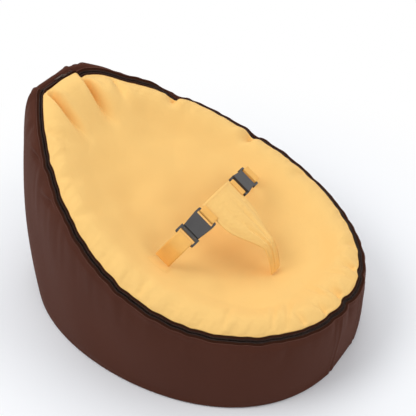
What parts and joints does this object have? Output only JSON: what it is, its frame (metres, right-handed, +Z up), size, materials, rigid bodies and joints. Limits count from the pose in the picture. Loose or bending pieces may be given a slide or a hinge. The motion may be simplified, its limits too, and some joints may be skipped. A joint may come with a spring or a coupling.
{
  "type": "baby bean-bag seat",
  "caption": "Low egg-shaped bean-bag seat for a baby: brown fabric bag, zipped-on padded orange cover with a hollow, and a padded crotch harness with side-release buckles.",
  "frame": {"origin": "on the floor, under the middle of the seat's outline", "axes": "+Z up, +Y towards the head end, X across the seat"},
  "size_m": [0.6104, 0.772, 0.4511],
  "materials": {
    "brown_fabric": "woven, matt",
    "inner_fabric": "plain, matt",
    "orange_fabric": "soft woven, matt",
    "orange_webbing": "ribbed webbing",
    "zip_tape": "fine woven tape",
    "zip_coil": "satin nylon",
    "zip_metal": "dark lacquered",
    "buckle_plastic": "fine satin"
  },
  "bodies": {
    "seat": {"base_panel": "brown_fabric", "side_wall_left": "brown_fabric", "side_wall_right": "brown_fabric", "head_panel": "brown_fabric", "foot_panel": "brown_fabric", "bead_bag": "inner_fabric", "seat_cover": "orange_fabric", "zip_tape_shell": "zip_tape", "zip_tape_cover": "zip_tape", "zip_teeth_shell": "zip_coil", "zip_teeth_cover": "zip_coil", "zip_stops": "zip_metal", "crotch_pad": "orange_fabric", "arm_strap_left": "orange_webbing", "arm_strap_right": "orange_webbing", "buckle_female_left": "buckle_plastic", "buckle_female_right": "buckle_plastic", "side_belt_left": "orange_webbing", "side_belt_right": "orange_webbing"},
    "zip_slider": {"zip_slider": "zip_metal"},
    "zip_pull": {"zip_pull": "zip_metal"},
    "buckle_male_left": {"buckle_male_left": "buckle_plastic"},
    "prong_left_head": {"prong_left_head": "buckle_plastic"},
    "prong_left_foot": {"prong_left_foot": "buckle_plastic"},
    "buckle_male_right": {"buckle_male_right": "buckle_plastic"},
    "prong_right_head": {"prong_right_head": "buckle_plastic"},
    "prong_right_foot": {"prong_right_foot": "buckle_plastic"}
  },
  "joints": [
    {"name": "buckle_pull_right", "type": "slide", "parent": "seat", "child": "buckle_male_right", "axis": [0.9563, 0.1592, -0.2452], "range_m": [0, 0.032], "deforming": ["side_belt_right", "prong_right_head", "prong_right_foot"]},
    {"name": "press_right_head", "type": "hinge", "parent": "buckle_male_right", "child": "prong_right_head", "pos_m": [0.10844, -0.05455, 0.28228], "axis": [0.2924, -0.5208, 0.802], "range_deg": [0, 14], "stiffness_Nm_per_rad": 0.05},
    {"name": "press_right_foot", "type": "hinge", "parent": "buckle_male_right", "child": "prong_right_foot", "pos_m": [0.10844, -0.07702, 0.26769], "axis": [-0.2924, 0.5208, -0.802], "range_deg": [0, 14], "stiffness_Nm_per_rad": 0.05},
    {"name": "buckle_pull_left", "type": "slide", "parent": "seat", "child": "buckle_male_left", "axis": [-0.9563, 0.1592, -0.2452], "range_m": [0, 0.032], "deforming": ["side_belt_left", "prong_left_head", "prong_left_foot"]},
    {"name": "press_left_head", "type": "hinge", "parent": "buckle_male_left", "child": "prong_left_head", "pos_m": [-0.10844, -0.05455, 0.28228], "axis": [0.2924, 0.5208, -0.802], "range_deg": [0, 14], "stiffness_Nm_per_rad": 0.05},
    {"name": "press_left_foot", "type": "hinge", "parent": "buckle_male_left", "child": "prong_left_foot", "pos_m": [-0.10844, -0.07702, 0.26769], "axis": [-0.2924, -0.5208, 0.802], "range_deg": [0, 14], "stiffness_Nm_per_rad": 0.05},
    {"name": "zip_run", "type": "slide", "parent": "seat", "child": "zip_slider", "axis": [-1, 0, 0], "range_m": [0, 0.048]},
    {"name": "pull_swing", "type": "hinge", "parent": "zip_slider", "child": "zip_pull", "pos_m": [0.004, 0.34027, 0.44787], "axis": [0, 0.866, -0.5], "range_deg": [0, 160]}
  ]
}
